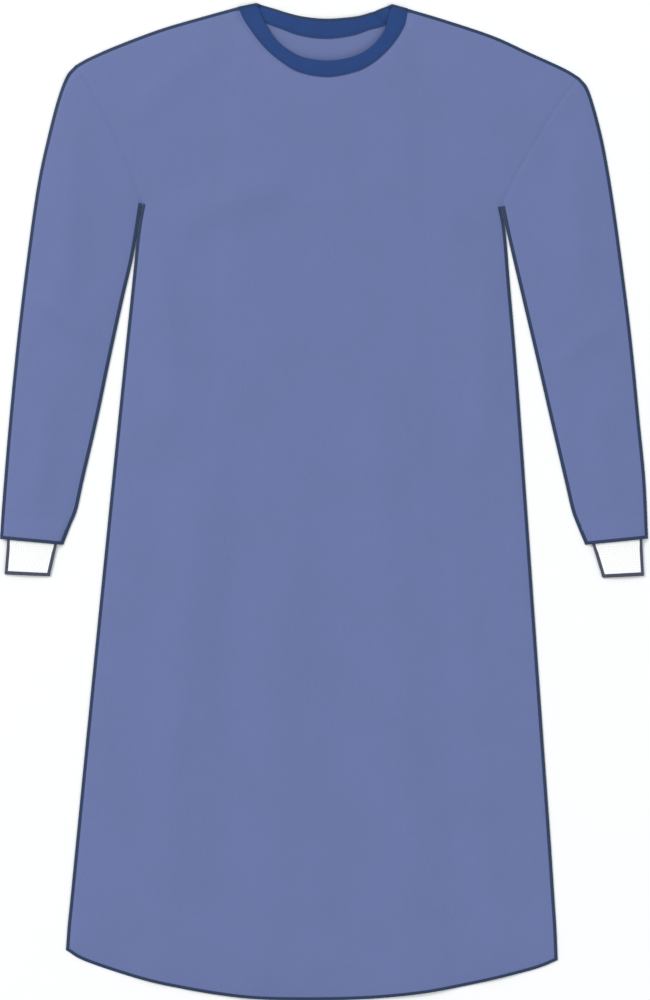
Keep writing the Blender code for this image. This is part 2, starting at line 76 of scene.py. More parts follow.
# %% Floor, lamps and surroundings
SURROUNDINGS = 0.66
FLOOR_SIZE = 30.0
LAMPS = {
    "key": {"place": (-7.2, 6.4, 8.8), "size": 5.2, "watts": 790},
    "fill": {"place": (8.4, -4.8, 9.2), "size": 8.0, "watts": 350},
}

world = bpy.data.worlds.new("surroundings")
bpy.context.scene.world = world
world.use_nodes = True
world.node_tree.nodes["Background"].inputs["Color"].default_value = (0.97, 0.985, 1.0, 1)
world.node_tree.nodes["Background"].inputs["Strength"].default_value = SURROUNDINGS

for name, lamp in LAMPS.items():
    data = bpy.data.lights.new(name, "AREA")
    data.shape, data.size, data.energy = "DISK", lamp["size"], lamp["watts"]
    light = bpy.data.objects.new(name, data)
    light.location = lamp["place"]
    light.rotation_euler = (-Vector(lamp["place"])).to_track_quat("-Z", "Y").to_euler()
    bpy.context.collection.objects.link(light)

floor_mesh = bpy.data.meshes.new("floor")
corners = [(x * FLOOR_SIZE / 2, y * FLOOR_SIZE / 2, 0) for x, y in ((-1, -1), (1, -1), (1, 1), (-1, 1))]
floor_mesh.from_pydata(corners, [], [(0, 1, 2, 3)])
floor = bpy.data.objects.new("floor", floor_mesh)
floor.location.z = -0.3 * MM
bpy.context.collection.objects.link(floor)
print("lamps:", ", ".join(LAMPS))

# %% [markdown]
# ## Finishes from nodes
# Every finish is worked out from the place on the object, so it keeps its size on every piece. A few small
# helpers make the node trees short to write: one makes the material, one adds a node and joins its inputs,
# and one gives noise of a known size. A number that is the same all over stays on the shader's own socket.

# %% Helpers for node trees
def finish(name, colour, roughness, **sockets):
    """A new material: its node tree, its shader and the place on the object."""
    made = bpy.data.materials.new(name)
    made.use_nodes = True
    shader = made.node_tree.nodes["Principled BSDF"]
    shader.inputs["Base Color"].default_value = (*colour, 1)
    shader.inputs["Roughness"].default_value = roughness
    for socket, value in sockets.items():
        shader.inputs[socket.replace("_", " ")].default_value = value
    place = made.node_tree.nodes.new("ShaderNodeTexCoord").outputs["Object"]
    return made, made.node_tree, shader, place


def node(tree, kind, settings, *by_order, **by_name):
    """Adds a node and gives its first output. An input is a number, or the socket that feeds it."""
    made = tree.nodes.new("ShaderNode" + kind)
    for key, value in settings.items():
        setattr(made, key, value)
    for key, value in [*enumerate(by_order), *by_name.items()]:
        if isinstance(value, bpy.types.NodeSocket):
            tree.links.new(value, made.inputs[key])
        elif value is not None:
            made.inputs[key].default_value = value
    return made.outputs[0]


def maths(tree, operation, *values):
    return node(tree, "Math", {"operation": operation}, *values)


def grain(tree, place, size_mm, detail=2.0):
    """Noise from 0 to 1, in patches about that many millimetres across."""
    return node(tree, "TexNoise", {}, Vector=place, Scale=500 / size_mm, Detail=detail, Roughness=0.55)


def between(tree, value, low, high, start=0.0, end=1.0):
    """Brings a value that runs from start to end into the range from low to high."""
    return node(tree, "MapRange", {}, value, start, end, low, high)


def turned(tree, place, degrees, scale=(1.0, 1.0, 1.0)):
    return node(tree, "Mapping", {}, Vector=place, Rotation=(0, 0, math.radians(degrees)), Scale=scale)


def shaded(tree, shader, colour, *factors):
    """Feeds the shader its colour, made lighter or darker by the factors."""
    factor = factors[0]
    for other in factors[1:]:
        factor = maths(tree, "MULTIPLY", factor, other)
    tree.links.new(node(tree, "VectorMath", {"operation": "SCALE"}, colour, Scale=factor), shader.inputs["Base Color"])


def bumped(tree, shader, *layers):
    """Lays bumps over each other. Each is a height from nodes, a strength and a depth in millimetres."""
    normal = None
    for height, strength, depth in layers:
        normal = node(tree, "Bump", {}, Strength=strength, Distance=depth * MM, Height=height, Normal=normal)
    tree.links.new(normal, shader.inputs["Normal"])


print("helpers ready")

# %% [markdown]
# ### The gown's nonwoven
# Nonwoven is a felt of very fine fibres, pressed together in a grid of tiny points. The real cloth is one
# even blue-violet with no print. Its life comes from three scales at once: soft clouds some 40 mm across,
# fibres of about a millimetre that run mostly one way, and the pressed points, which shine a little and
# dent the cloth. They change the colour by a few parts in a hundred only, and the same three drive the bump.

# %% Nonwoven
BOND_PITCH = 1.9
GOWN_COLOUR = (0.124, 0.159, 0.342)


def nonwoven(name, colour):
    made, tree, shader, place = finish(
        name, colour, 0.66, Sheen_Weight=0.18, Sheen_Roughness=0.45, Specular_IOR_Level=0.32
    )
    clouds = grain(tree, place, 42, 3.0)
    fibres = grain(tree, turned(tree, place, 78, (1.0, 0.28, 1.0)), 0.9, 3.0)
    grid = node(tree, "SeparateXYZ", {}, turned(tree, place, 45, (1000 * math.tau / BOND_PITCH,) * 3))
    waves = maths(tree, "MULTIPLY", maths(tree, "SINE", grid), maths(tree, "SINE", grid.node.outputs["Y"]))
    pressed = node(tree, "MapRange", {"interpolation_type": "SMOOTHSTEP"}, waves, 0.35, 0.9, 0.0, 1.0)
    shaded(
        tree, shader, colour,
        between(tree, clouds, 0.95, 1.05), between(tree, fibres, 0.92, 1.08), between(tree, pressed, 1.01, 0.94),
    )
    tree.links.new(between(tree, pressed, 0.72, 0.52), shader.inputs["Roughness"])
    bumped(tree, shader, (fibres, 0.35, 0.12), (pressed, 0.4, -0.09))
    return made


gown_cloth = nonwoven("gown_cloth", GOWN_COLOUR)
print("finish:", gown_cloth.name)

# %% [markdown]
# ### The neck band's cloth, the thread, the knit and the tape
# The band is a tighter, darker strip with a fine slanting rib. The seams are sewn with a slate-blue thread,
# which is what shows as the dark line round every edge. The cuffs are white knit: their ribs are real
# shapes, and only the small loops along each rib come from a bump. The tape is a pad of tiny hooks.

# %% Band, thread, knit and tape
def ribbed_strip(name, colour, pitch_mm, turn):
    made, tree, shader, place = finish(
        name, colour, 0.7, Sheen_Weight=0.08, Sheen_Roughness=0.5, Specular_IOR_Level=0.22
    )
    ribs = node(
        tree, "TexWave", {"wave_type": "BANDS", "bands_direction": "X"},
        Vector=turned(tree, place, turn), Scale=1000 / pitch_mm / math.tau, Distortion=0.5, Detail=1.0,
    )
    shaded(
        tree, shader, colour,
        between(tree, grain(tree, place, 25), 0.9, 1.1), between(tree, grain(tree, place, 2.5, 3.0), 0.84, 1.16),
        between(tree, ribs, 0.93, 1.05),
    )
    bumped(tree, shader, (ribs, 0.45, 0.12))
    return made


def knitted(name, colour):
    made, tree, shader, place = finish(
        name, colour, 0.85, Sheen_Weight=0.3, Sheen_Roughness=0.6, Specular_IOR_Level=0.2
    )
    loops = node(
        tree, "TexWave", {"wave_type": "BANDS", "bands_direction": "Y"},
        Vector=place, Scale=1000 / 1.7 / math.tau, Distortion=2.0, Detail=1.5,
    )
    fuzz = grain(tree, place, 0.8, 4.0)
    shaded(tree, shader, colour, between(tree, loops, 0.97, 1.02), between(tree, fuzz, 0.97, 1.03))
    bumped(tree, shader, (fuzz, 0.3, 0.06), (loops, 0.4, 0.09))
    return made


def grained(name, colour, roughness, size_mm, spread, depth_mm, **sockets):
    made, tree, shader, place = finish(name, colour, roughness, **sockets)
    speckle = grain(tree, place, size_mm, 3.0)
    shaded(tree, shader, colour, between(tree, speckle, 1 - spread, 1 + spread))
    bumped(tree, shader, (speckle, 0.4, depth_mm))
    return made


neck_binding = ribbed_strip("neck_binding", (0.0125, 0.048, 0.182), 0.9, 38)
seam_thread = grained("seam_thread", (0.020, 0.040, 0.092), 0.6, 0.8, 0.22, 0.08, Specular_IOR_Level=0.25)
knit_cuff = knitted("knit_cuff", (0.93, 0.935, 0.92))
cuff_thread = grained("cuff_thread", (0.060, 0.070, 0.110), 0.65, 0.8, 0.2, 0.08, Specular_IOR_Level=0.25)
hook_tape = grained("hook_tape", (0.80, 0.82, 0.84), 0.6, 0.7, 0.12, 0.25, Sheen_Weight=0.1)
floor_mesh.materials.append(
    grained("floor_paper", (0.93, 0.935, 0.94), 0.9, 30, 0.004, 0.02, Specular_IOR_Level=0.15)
)
print("finishes:", ", ".join(sorted(m.name for m in bpy.data.materials)))

# %% [markdown]
# ## The pattern
# Every piece is drawn from a few curves, as a pattern cutter draws it: pass a smooth line through a short
# row of points. The two sides are not quite alike, because the drawing isn't, so each has its own rows.
# Right and left are the wearer's, so the right side is on the left of the picture.

# %% Curves of the outline
OUTLINE = {
    "right": {
        "shoulder": ((-109.3, 632.2), (-150, 621), (-207, 604.4), (-261.7, 584), (-299, 567.8), (-318, 557.2)),
        "over_arm": (
            (-318, 557.2), (-329.3, 543.2), (-340.5, 514), (-352.5, 468), (-365, 410.6),
            (-376.4, 334), (-390.5, 220), (-402, 104.6), (-410.3, 5), (-413.9, -47.2),
        ),
        "armhole": ((-318, 557.2), (-290, 516), (-266, 468), (-246, 424), (-232.4, 381.2)),
        "under_arm": (
            (-232.6, 381.2), (-243.4, 315), (-256.6, 257.6), (-273.3, 181), (-289.2, 104.6),
            (-307, 28), (-315.4, -10), (-323.4, -29.9), (-333.2, -54.8),
        ),
        "side": (
            (-231.9, 381.2), (-238.1, 345), (-244.8, 280), (-259, 142.8), (-293.6, -201.5),
            (-316.2, -430), (-323.9, -508), (-327.2, -540), (-329.6, -572.6),
        ),
    },
    "left": {
        "shoulder": ((106.8, 630.0), (156.5, 615.1), (216.4, 595.0), (261, 574.7), (305.7, 554.3), (326.4, 542.1)),
        "over_arm": (
            (326.4, 542.1), (337.1, 528.2), (347.5, 497), (358.9, 448.8), (371.6, 372.3),
            (386.9, 257.6), (395.7, 181), (403, 104.6), (410.4, 28), (413.9, -46.8),
        ),
        "armhole": ((326.4, 542.1), (296, 503), (270, 459), (245, 416), (226.6, 377.4)),
        "under_arm": (
            (226.8, 377.4), (235, 338), (253.8, 257.6), (271.8, 181), (289.3, 104.6),
            (307.3, 28), (316.2, -10), (323.2, -29.3), (333.8, -54.8),
        ),
        "side": (
            (226.1, 377.4), (231.9, 345), (237.3, 280), (248.6, 142.8), (272.9, -201.5),
            (289.2, -430), (294.4, -508), (296.8, -545), (298.5, -585.2),
        ),
    },
}
HEM = (
    (-329.6, -572.6), (-303, -587.4), (-232.4, -610.2), (-160, -625.6), (-95, -634), (-18, -636.5),
    (61, -634.4), (130, -627), (190, -616.2), (254.7, -600.8), (280, -593.2), (298.5, -585.2),
)
FRONT_NECK_SEWN = (
    (-109.3, 632.2), (-103, 616.5), (-91.5, 598.7), (-76.6, 580), (-57.6, 563), (-32.3, 547.7), (3.5, 541.3),
    (39.3, 547.7), (61, 558.4), (78.3, 573), (92.6, 590), (103.3, 609), (106.8, 630.0),
)
FRONT_NECK_FREE = (
    (-86.5, 636.8), (-74.9, 611), (-64.6, 594), (-50.9, 580.3), (-28, 567.2), (3.5, 562.3),
    (34, 566.6), (57, 578), (72, 594), (79.6, 609), (87.2, 635.4),
)
BACK_NECK_SEWN = (
    (-109.3, 632.2), (-74.9, 612), (-56.4, 604.6), (-30.4, 595.3), (3.5, 591.3), (37.9, 595.9),
    (57, 602.4), (79.6, 609.6), (106.8, 630.0),
)
BACK_NECK_FREE = (
    (-86.5, 636.8), (-64.4, 630), (-48.5, 624.8), (-26.8, 619.6), (3.5, 616.7), (39.5, 619.6),
    (59.9, 624.8), (72.7, 630), (87.2, 635.4),
)


def smooth(points, steps=24):
    """A smooth line that passes through each point."""
    p = np.array(points, float)
    p = np.vstack([2 * p[0] - p[1], p, 2 * p[-1] - p[-2]])
    t = np.linspace(0, 1, steps, endpoint=False)[:, None]
    parts = [
        0.5 * (2 * b + (c - a) * t + (2 * a - 5 * b + 4 * c - d) * t**2 + (3 * b - a - 3 * c + d) * t**3)
        for a, b, c, d in zip(p, p[1:], p[2:], p[3:])
    ]
    return np.vstack([*parts, p[-2]])


def along_of(line):
    """The distance along a line to each of its points."""
    return np.concatenate([[0.0], np.cumsum(np.linalg.norm(np.diff(line, axis=0), axis=1))])


def length_of(line):
    return float(along_of(line)[-1])


def spread(line, shares):
    """Points of a line at these shares of its length."""
    along = along_of(line)
    at = np.asarray(shares) * along[-1]
    return np.stack([np.interp(at, along, line[:, k]) for k in range(line.shape[1])], axis=1)


def leftwards(line):
    """The way to a line's left, at each of its points."""
    ahead = np.gradient(line, axis=0)
    left = np.stack([-ahead[:, 1], ahead[:, 0]], axis=1)
    return left / np.linalg.norm(left, axis=1)[:, None]


curves = {side: {name: smooth(points) for name, points in rows.items()} for side, rows in OUTLINE.items()}
hem_line, front_sewn, front_free = smooth(HEM), smooth(FRONT_NECK_SEWN), smooth(FRONT_NECK_FREE)
back_sewn, back_free = smooth(BACK_NECK_SEWN), smooth(BACK_NECK_FREE)
print("hem", round(length_of(hem_line)), "mm; front neck", round(length_of(front_sewn)), "mm")

# %% [markdown]
# ## How high the cloth lies
# Laid cloth isn't a plank. Its upper layer pillows between the seams, stands a little at the neck, and has
# long soft folds. One function gives that height for the front and both sleeves, so they meet at each seam.
# It is the same sum of parts that shaped the solids, and so the thin cloth follows them closely.

# %% Layers and folds
PLY = 1.0
BAND_PLY = 1.6
SEAM_GAP = 0.3
SECOND_LAYER = PLY + SEAM_GAP
LOFT, LOFT_REACH = 3.2, 22.0
NECK_LIFT, NECK_LIFT_REACH = 3.4, 85.0
CUFF_LIFT, CUFF_LIFT_REACH = 2.6, 34.0
BACK_LEFT_EDGE = {"neck": -62.0, "hem": -130.0}
BACK_RIGHT_EDGE = {"neck": 78.0, "hem": 135.0}
BACK_HEM_SHORTER = 3.0
OVERLAP_RAMP = (40.0, 10.0)
FOLDS = (
    {"path": ((-150, 140), (-176, -180), (-214, -604)), "height": 4.6, "width": 30},
    {"path": ((-38, 40), (-60, -260), (-82, -632)), "height": 3.8, "width": 36},
    {"path": ((66, 210), (84, -140), (122, -625)), "height": 4.8, "width": 32},
    {"path": ((168, 0), (188, -300), (222, -606)), "height": 3.8, "width": 28},
    {"path": ((-108, 20), (-122, -260), (-142, -620)), "height": -1.6, "width": 26},
    {"path": ((18, -80), (24, -350), (34, -632)), "height": -1.8, "width": 32},
    {"path": ((-210, 340), (-130, 392), (-24, 408)), "height": 3.6, "width": 24},
    {"path": ((206, 332), (128, 396), (42, 428)), "height": 3.2, "width": 24},
    {"path": ((-216, 335), (-190, 200), (-198, 40)), "height": 2.8, "width": 22},
    {"path": ((212, 330), (194, 180), (206, 0)), "height": 3.0, "width": 22},
    {"path": ((-122, 596), (-190, 548), (-256, 476)), "height": 2.6, "width": 22},
    {"path": ((126, 590), (190, 546), (252, 470)), "height": 2.4, "width": 22},
    {"path": ((-318, 515), (-322, 380), (-338, 215)), "height": 3.2, "width": 22},
    {"path": ((322, 500), (318, 380), (332, 240)), "height": 3.4, "width": 22},
    {"path": ((-378, 262), (-330, 246), (-282, 196)), "height": 2.8, "width": 16},
    {"path": ((384, 232), (340, 222), (288, 158)), "height": 2.8, "width": 16},
    {"path": ((-356, 150), (-352, 60), (-372, -18)), "height": 2.6, "width": 18},
    {"path": ((354, 140), (348, 60), (366, -20)), "height": 2.8, "width": 18},
)


def ease(value, start, end):
    share = np.clip((value - start) / (end - start), 0.0, 1.0)
    return share * share * (3 - 2 * share)


def nearest(points, line):
    """How far each point is from a line, and where along the line that is, from 0 to 1."""
    best, at = np.full(len(points), 1e9), np.zeros(len(points))
    for i, (a, b) in enumerate(zip(line, line[1:])):
        share = np.clip((points - a) @ (b - a) / ((b - a) @ (b - a)), 0, 1)
        apart = np.linalg.norm(points - a - share[:, None] * (b - a), axis=1)
        at = np.where(apart < best, (i + share) / (len(line) - 1), at)
        best = np.minimum(best, apart)
    return best, at


def apart_from(points, lines):
    return np.min([nearest(points, line)[0] for line in lines], axis=0)


seam_names = ("shoulder", "over_arm", "under_arm", "side")
outer_lines = [hem_line] + [curves[side][name] for side in curves for name in seam_names]
outer_edges = [spread(line, np.linspace(0, 1, 19)) for line in outer_lines]
armholes = [spread(curves[side]["armhole"], np.linspace(0, 1, 13)) for side in curves]
print("folds:", len(FOLDS))

# %% [markdown]
# A fold's height is full on its ridge and fades beside it like a bell. Three points bend its ridge, and its
# ends fade out, unless it runs off over the hem. Fine uneven ripples and puckers lie on top. They are too
# small for the solids, but light needs them, or the cloth looks like moulded plastic. Each seam pulls the
# cloth down a little on either side.

# %% The height of the upper cloth
RIPPLES = (
    {"size": 120, "height": 0.75, "seed": 3.1},
    {"size": 46, "height": 0.40, "seed": 7.7},
    {"size": 19, "height": 0.14, "seed": 1.3},
)
EDGE_DIP, EDGE_DIP_REACH = 1.1, 4.0
ARMHOLE_DIP, ARMHOLE_DIP_REACH = 0.7, 2.6
PUCKER, PUCKER_SIZE, PUCKER_REACH = 0.42, 13.0, 16.0
LOWEST_TOP = 1.24
BAND_HALF = 0.72
RISES_OVER = 5 / 36
UNDER_BAND = 2.0


def folds_at(points, apart):
    total = np.zeros(len(points))
    for fold in FOLDS:
        a, b, c = (np.array(p, float) for p in fold["path"])
        t = np.linspace(0, 1, 25)[:, None]
        off, at = nearest(points, (a * (1 - t) + b * t) * (1 - t) + (b * (1 - t) + c * t) * t)
        ends = ease(at, 0.0, 0.28)
        if abs(c[1]) < 560:
            ends = ends * (1 - ease(at, 0.72, 1.0))
        total += fold["height"] * ends * np.exp(-((off / fold["width"]) ** 2))
    return total * (1 - 0.6 * np.exp(-apart / 18.0))


def panel_edge_x(edge, y):
    share = (y - HEM[5][1]) / (BACK_NECK_SEWN[4][1] - HEM[5][1])
    return edge["hem"] + (edge["neck"] - edge["hem"]) * share


def solid_underside(points):
    """The underside of the solids of the front and of the sleeves' front halves, and the way to the edge."""
    apart = apart_from(points, outer_edges)
    x, y = points.T
    left, right = panel_edge_x(BACK_LEFT_EDGE, y), panel_edge_x(BACK_RIGHT_EDGE, y)
    base = SECOND_LAYER * (1 + ease(x, left - 62, left - 34) - ease(x, right + 16, right + 44))
    loft = LOFT * (1 - np.exp(-apart / LOFT_REACH))
    cuff_lift = CUFF_LIFT * (1 - ease(y + 50.9, 6.0, CUFF_LIFT_REACH)) * ease(apart, 0.5, 9.0)
    loft += np.where((np.abs(x) > 330) & (y < 40), cuff_lift, 0.0)
    from_neck = np.linalg.norm(points - np.array(FRONT_NECK_FREE[5]), axis=1)
    loft += NECK_LIFT * (1 - np.exp(-apart / 12.0)) * np.exp(-((from_neck / NECK_LIFT_REACH) ** 2))
    return base + np.maximum(loft + folds_at(points, apart), 0.0), apart


def ripple(points, size_mm, seed):
    """Smooth uneven waves of about that size, from -1 to 1."""
    return np.array([noise.noise(Vector((x / size_mm, y / size_mm, seed))) for x, y in points])


def puckers(points, apart, height, seed):
    """The small gathers that a row of stitches leaves beside itself."""
    return height * ripple(points, PUCKER_SIZE, seed) * np.exp(-apart / PUCKER_REACH) * (1 - np.exp(-apart / 2.5))


def cloth_top(points):
    """The upper face of the gown's upper cloth."""
    under, apart = solid_underside(points)
    fine = sum(r["height"] * ripple(points, r["size"], r["seed"]) for r in RIPPLES) * (1 - np.exp(-apart / 20.0))
    at_armhole = apart_from(points, armholes)
    fine += puckers(points, apart, PUCKER, 5.5) + puckers(points, at_armhole, 0.7 * PUCKER, 8.2)
    fine -= EDGE_DIP * np.exp(-((apart / EDGE_DIP_REACH) ** 2))
    fine -= ARMHOLE_DIP * np.exp(-((at_armhole / ARMHOLE_DIP_REACH) ** 2))
    return np.maximum(under + PLY + fine, LOWEST_TOP)


def band_height(places, at):
    """The height of the front band's middle, at places on it. It rises on to the cloth from its fold at each end."""
    rise = ease(np.minimum(at, 1 - at), 0, RISES_OVER)
    return (BAND_PLY + SEAM_GAP) * (1 - rise) + solid_underside(places)[0] * rise + BAND_PLY / 2


def under_the_band(points, top):
    """Presses the cloth's neck edge down, so that it lies under the band that is sewn over it."""
    edge = spread(front_sewn, np.linspace(0, 1, 61))
    off, at = nearest(points, edge)
    inner = spread(front_free, np.linspace(0, 1, 61))
    middle = (edge + inner) / 2
    lines = np.linspace(0, 1, 61)
    limit = np.interp(at, lines, band_height(middle, lines)) - BAND_HALF - 0.08
    return np.where(off < 8, np.minimum(top, np.maximum(limit + 0.7 * np.maximum(off - UNDER_BAND, 0), LOWEST_TOP)), top)


samples = np.array([[0.0, 0.0], [-200.0, 300.0], [-370.0, 200.0], [0.0, -636.0]])
print("cloth at chest, side, sleeve and hem:", np.round(cloth_top(samples), 2), "mm")

# %% [markdown]
# ## Panels as thin shells
# A panel is a grid of points between its edges, given twice, as a top and an underside, and closed round
# the rim. Rows crowd together near an edge, where the cloth turns down into its seam, and spread out in the
# middle, where it is smooth. That keeps the mesh light and the edge round.

# %% Grids and shells
NEAR_EDGE = np.array([0.7, 1.6, 2.8, 4.4, 6.6, 9.4])
CLOTH = 0.6


def shares_of(length, count, start=True, end=True):
    """Shares of a length from 0 to 1, close together at the ends that need it."""
    near = NEAR_EDGE / length
    low, high = near[-1] if start else 0.0, 1 - near[-1] if end else 1.0
    parts = [[0.0], near if start else [], np.linspace(low, high, count + 1), 1 - near if end else [], [1.0]]
    return np.unique(np.round(np.concatenate(parts), 7))


def patch(bottom, top, left, right, u, v):
    """A grid between four lines that meet at their corners."""
    u, v = u[None, :, None], v[:, None, None]
    corners = (bottom[0] * (1 - u) + bottom[-1] * u) * (1 - v) + (top[0] * (1 - u) + top[-1] * u) * v
    return left[:, None] * (1 - u) + right[:, None] * u + bottom[None] * (1 - v) + top[None] * v - corners


def new_piece(name, points, faces, material, sharp=50):
    mesh = bpy.data.meshes.new(name)
    mesh.from_pydata((np.asarray(points) * MM).tolist(), [], faces)
    mesh.materials.append(material)
    mesh.shade_smooth()
    mesh.set_sharp_from_angle(angle=math.radians(sharp))
    piece = bpy.data.objects.new(name, mesh)
    bpy.context.collection.objects.link(piece)
    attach(piece, "root")
    return piece


def grid_faces(rows, columns, first=0, flip=False, around=False):
    """Four-sided faces of a grid of points. A grid that goes around joins its last column to its first."""
    faces = []
    for r in range(rows - 1):
        for c in range(columns if around else columns - 1):
            low, next_low = first + r * columns + c, first + r * columns + (c + 1) % columns
            quad = (low, next_low, next_low + columns, low + columns)
            faces.append(quad[::-1] if flip else quad)
    return faces


def shell(name, grid, top, under, material):
    """A closed thin sheet from a grid of places and the heights of its two faces."""
    rows, columns = grid.shape[:2]
    flat, count = grid.reshape(-1, 2), rows * columns
    points = np.vstack([np.column_stack([flat, top]), np.column_stack([flat, under])])
    across, up = grid[0, columns // 2] - grid[0, 0], grid[rows // 2, 0] - grid[0, 0]
    flip = across[0] * up[1] - across[1] * up[0] < 0
    faces = grid_faces(rows, columns, 0, flip) + grid_faces(rows, columns, count, not flip)
    index = np.arange(count).reshape(rows, columns)
    rim = [*index[0], *index[1:, -1], *index[-1, -2::-1], *index[-2:0:-1, 0]]
    for a, b in zip(rim, rim[1:] + rim[:1]):
        wall = (int(b), int(a), int(a) + count, int(b) + count)
        faces.append(wall[::-1] if flip else wall)
    return new_piece(name, points, faces, material)


def laid_panel(node_name):
    """Hides the solid of a panel whose cloth shell has been made."""
    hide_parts(node_name)


# %% [markdown]
# ## The front
# The front is one panel from hem to shoulders with the neck cut out. Its columns run up from the hem, and
# only the ones beside the neck lean in to follow the armholes, so no two cross where the neck turns steep.
# The cloth goes on for 2 mm under the neck band, as a sewn edge does.

# %% Front panel
SHOULDER_STEPS, NECK_STEPS, SIDE_STEPS, ARMHOLE_STEPS = 34, 84, 150, 32


def tucked_under_band(neck, steps):
    """The neck edge of a panel, moved in under the band except at its two ends."""
    neck = spread(neck, np.linspace(0, 1, steps + 1))
    return neck + leftwards(neck) * UNDER_BAND * np.sin(np.linspace(0, math.pi, steps + 1))[:, None] ** 0.3


def up_the_side(side):
    """A body panel's edge from hem to shoulder corner: the side seam, then the armhole."""
    seam, armhole = curves[side]["side"][::-1], curves[side]["armhole"][::-1]
    low = spread(seam, shares_of(length_of(seam), SIDE_STEPS, end=False))
    return np.vstack([low, spread(armhole, shares_of(length_of(armhole), ARMHOLE_STEPS, start=False))[1:]])


def share_between(line, x):
    return (x - line[0, 0]) / (line[-1, 0] - line[0, 0])


def body_grid(hem, top, right, left, neck_start, neck_end):
    """A grid whose columns run up from the hem, and lean in beside the neck only."""
    v_right = (right[:, 1] - hem[0, 1]) / (top[0, 1] - hem[0, 1])
    v_left = (left[:, 1] - hem[-1, 1]) / (top[-1, 1] - hem[-1, 1])
    v, share = ((v_right + v_left) / 2)[:, None, None], share_between(top, top[:, 0])[None, :, None]
    lean_right = np.maximum(1 - share / neck_start, 0) * (right[:, None] - hem[0] * (1 - v) - top[0] * v)
    lean_left = np.maximum(1 - (1 - share) / (1 - neck_end), 0) * (left[:, None] - hem[-1] * (1 - v) - top[-1] * v)
    return hem[None] * (1 - v) + top[None] * v + lean_right + lean_left


right_shoulder, left_shoulder = curves["right"]["shoulder"][::-1], curves["left"]["shoulder"]
top_edge = np.vstack([
    spread(right_shoulder, shares_of(length_of(right_shoulder), SHOULDER_STEPS, end=False))[:-1],
    tucked_under_band(front_sewn, NECK_STEPS),
    spread(left_shoulder, shares_of(length_of(left_shoulder), SHOULDER_STEPS, start=False))[1:],
])
hem_x = hem_line[0, 0] + (hem_line[-1, 0] - hem_line[0, 0]) * share_between(top_edge, top_edge[:, 0])
hem_edge = np.stack([hem_x, np.interp(hem_x, hem_line[:, 0], hem_line[:, 1])], axis=1)
neck_corners = [share_between(top_edge, FRONT_NECK_SEWN[end][0]) for end in (0, -1)]
front_grid = body_grid(hem_edge, top_edge, up_the_side("right"), up_the_side("left"), *neck_corners)
front_top = under_the_band(front_grid.reshape(-1, 2), cloth_top(front_grid.reshape(-1, 2)))
front = shell("front_cloth", front_grid, front_top, front_top - CLOTH, gown_cloth)
laid_panel("front")

# %% [markdown]
# ## The sleeves' front halves
# Each sleeve is two halves, seamed over the arm and under it. A half is a patch between its four edges:
# armhole, wrist, the seam over the arm and the one under it. It takes its height from the same function as
# the front, so cloth meets cloth at the armhole.

# %% Sleeve fronts
def sleeve_grid(side, columns, rows):
    armhole, outer, inner = (curves[side][n] for n in ("armhole", "over_arm", "under_arm"))
    inner = np.vstack([armhole[-1:], inner[1:]])
    u, v = shares_of(length_of(armhole), columns), shares_of(length_of(outer), rows)
    wrist = outer[-1] * (1 - u[:, None]) + inner[-1] * u[:, None]
    return patch(spread(armhole, u), wrist, spread(outer, v), spread(inner, v), u, v)


for side in ("right", "left"):
    grid = sleeve_grid(side, 30, 100)
    top = cloth_top(grid.reshape(-1, 2))
    sleeve = shell(f"sleeve_{side}_front_cloth", grid, top, top - CLOTH, gown_cloth)
    laid_panel(f"sleeve_{side}_front")

# %% [markdown]
# ## The back
# The gown opens at the back, where one half laps over the other under the front. What shows of it is the
# inside, through the neck opening. The outer half and the sleeves' backs lie right on the floor, and the
# inner half steps up on to the outer one along that one's free edge.

# %% Back panels and sleeve backs
def back_top(side, points):
    """The height of a back panel's upper face."""
    height = np.full(len(points), CLOTH)
    if side == "right":
        edge_x = panel_edge_x(BACK_LEFT_EDGE, points[:, 1])
        height += SECOND_LAYER * ease(points[:, 0] - edge_x, -OVERLAP_RAMP[0], -OVERLAP_RAMP[1])
        waves = ripple(points, 38, 2.2) + 0.5 * ripple(points, 15, 4.1) + 0.35
        height += 0.35 * ease(points[:, 1], 470, 590) * np.maximum(waves, 0)
    return height


def back_grid(side):
    """A back panel's grid: rows from the side seam to the free edge, columns from hem to neck."""
    edge = BACK_RIGHT_EDGE if side == "right" else BACK_LEFT_EDGE
    hem, neck = hem_line + np.array([0, BACK_HEM_SHORTER]), tucked_under_band(back_sewn, 60)
    sign = 1 if side == "right" else -1
    if side == "left":
        hem, neck = hem[::-1], neck[::-1]
    hem_end = np.array([[edge["hem"], np.interp(sign * edge["hem"], sign * hem[:, 0], hem[:, 1])]])
    neck_end = np.array([[edge["neck"], np.interp(sign * edge["neck"], sign * neck[:, 0], neck[:, 1])]])
    low = np.vstack([hem[sign * hem[:, 0] < sign * edge["hem"]], hem_end])
    high = np.vstack([curves[side]["shoulder"][::-1], neck[sign * neck[:, 0] < sign * edge["neck"]][1:], neck_end])
    outer = up_the_side(side)[::2]
    outer = np.vstack([low[:1], outer[outer[:, 1] > low[0, 1] + 1.0]])
    u = np.linspace(0, 1, 81)
    v = (outer[:, 1] - outer[0, 1]) / (outer[-1, 1] - outer[0, 1])
    return patch(spread(low, u), spread(high, u), outer, hem_end + (neck_end - hem_end) * v[:, None], u, v)


for side in ("right", "left"):
    grid = back_grid(side)
    top = back_top(side, grid.reshape(-1, 2))
    back = shell(f"back_{side}_cloth", grid, top, top - CLOTH, gown_cloth)
    laid_panel(f"back_{side}")
    grid = sleeve_grid(side, 16, 40)
    top = np.full(grid.shape[0] * grid.shape[1], CLOTH)
    half = shell(f"sleeve_{side}_back_cloth", grid, top, top - CLOTH, gown_cloth)
    laid_panel(f"sleeve_{side}_back")

